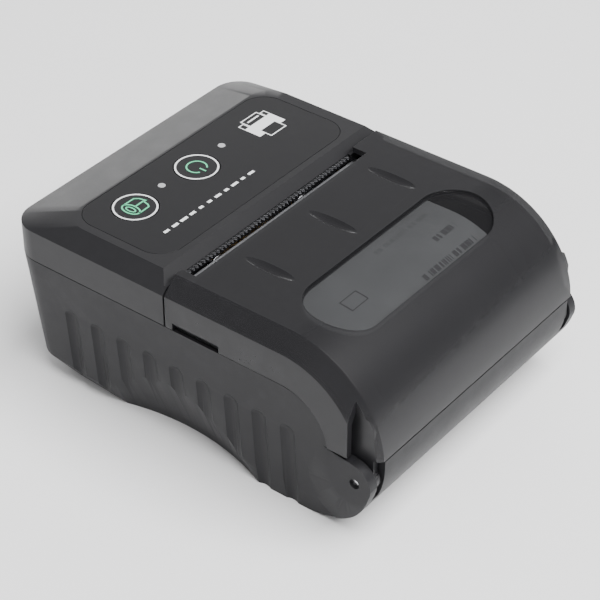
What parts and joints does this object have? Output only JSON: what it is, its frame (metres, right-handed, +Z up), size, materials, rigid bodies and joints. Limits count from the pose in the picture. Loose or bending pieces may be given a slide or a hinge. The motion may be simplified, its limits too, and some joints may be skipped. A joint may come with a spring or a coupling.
{
  "type": "receipt printer",
  "caption": "Handheld thermal receipt printer with a hinged smoked paper lid, tear bar, two panel buttons, roll bay and a geared platen.",
  "frame": {"origin": "centre of the case's footprint box, on the surface it stands on", "axes": "+Z up; -Y towards the control panel end, +Y towards the lid hinge; X across, drive gears at -X"},
  "size_m": [0.079, 0.101, 0.0455],
  "materials": {
    "case_plastic": "fine spark-textured charcoal ABS",
    "cover_plastic": "fine spark-textured charcoal ABS",
    "smoked_plastic": "smoked translucent polycarbonate, polished window",
    "panel_film": "satin printed overlay film",
    "button_film": "satin cap with white ring and green symbol",
    "clear_plastic": "frosted light pipe",
    "label_film": "light grey printed label",
    "carrier_plastic": "black moulded plastic",
    "blade_plastic": "blackened steel",
    "ceramic": "glazed ceramic",
    "alloy": "extruded aluminium",
    "spring_steel": "spring wire",
    "plated_steel": "zinc-plated steel sheet",
    "shaft_steel": "ground steel",
    "brass": "machined brass",
    "acetal": "natural acetal",
    "platen_rubber": "ground silicone rubber",
    "board_laminate": "green solder mask",
    "switch_plastic": "black moulded plastic",
    "led_plastic": "clear epoxy",
    "socket_steel": "tin-plated steel",
    "nylon": "natural nylon",
    "battery_wrap": "blue shrink sleeve",
    "flex_film": "polyimide film"
  },
  "bodies": {
    "case": {"bottom_case": "case_plastic", "top_cover": "cover_plastic", "panel_overlay": "panel_film", "light_pipes": "clear_plastic", "tear_bar": "blade_plastic", "mech_frame": "plated_steel", "stepper_motor": "plated_steel", "idler_axle": "shaft_steel", "hinge_pins": "shaft_steel", "paper_sensor": "switch_plastic", "main_board": "board_laminate", "key_switches": "switch_plastic", "indicator_leds": "led_plastic", "charge_socket": "socket_steel", "flex_socket": "nylon", "battery_pack": "battery_wrap", "head_flex": "flex_film", "paper_bay": "carrier_plastic", "case_screws": "plated_steel", "board_screws": "plated_steel", "motor_screws": "plated_steel", "head_springs": "spring_steel"},
    "lid": {"paper_lid": "smoked_plastic", "platen_carrier": "carrier_plastic", "info_label": "label_film", "platen_bushings": "acetal"},
    "platen": {"platen_roller": "platen_rubber", "platen_shaft": "shaft_steel", "platen_gear": "acetal"},
    "idler": {"idler_gear": "acetal"},
    "motor_rotor": {"motor_shaft": "shaft_steel", "motor_pinion": "brass"},
    "head": {"print_head": "ceramic", "head_heat_sink": "alloy"},
    "feed_key": {"feed_button": "button_film"},
    "power_key": {"power_button": "button_film"}
  },
  "joints": [
    {"name": "lid_hinge", "type": "hinge", "parent": "case", "child": "lid", "pos_m": [0, 0.0458, 0.0169], "axis": [-1, 0, 0], "range_deg": [0, 95]},
    {"name": "platen_spin", "type": "hinge", "parent": "lid", "child": "platen", "pos_m": [0, 0.0022, 0.0386], "axis": [1, 0, 0], "continuous": true},
    {"name": "idler_spin", "type": "hinge", "parent": "case", "child": "idler", "pos_m": [0, -0.00291, 0.02834], "axis": [1, 0, 0], "continuous": true},
    {"name": "motor_spin", "type": "hinge", "parent": "case", "child": "motor_rotor", "pos_m": [0, -0.01166, 0.02426], "axis": [1, 0, 0], "continuous": true},
    {"name": "head_pivot", "type": "hinge", "parent": "case", "child": "head", "pos_m": [0, -0.00385, 0.0314], "axis": [1, 0, 0], "range_deg": [0, 2], "stiffness_Nm_per_rad": 0.5, "deforming": ["head_springs"]},
    {"name": "feed_press", "type": "slide", "parent": "case", "child": "feed_key", "axis": [0, 0, -1], "range_m": [0, 0.0004], "stiffness_N_per_m": 400},
    {"name": "power_press", "type": "slide", "parent": "case", "child": "power_key", "axis": [0, 0, -1], "range_m": [0, 0.0004], "stiffness_N_per_m": 400}
  ],
  "couplings": [
    {"joint": "idler_spin", "follows": "platen_spin", "ratio": -0.65217},
    {"joint": "motor_spin", "follows": "platen_spin", "ratio": 1.6667}
  ]
}
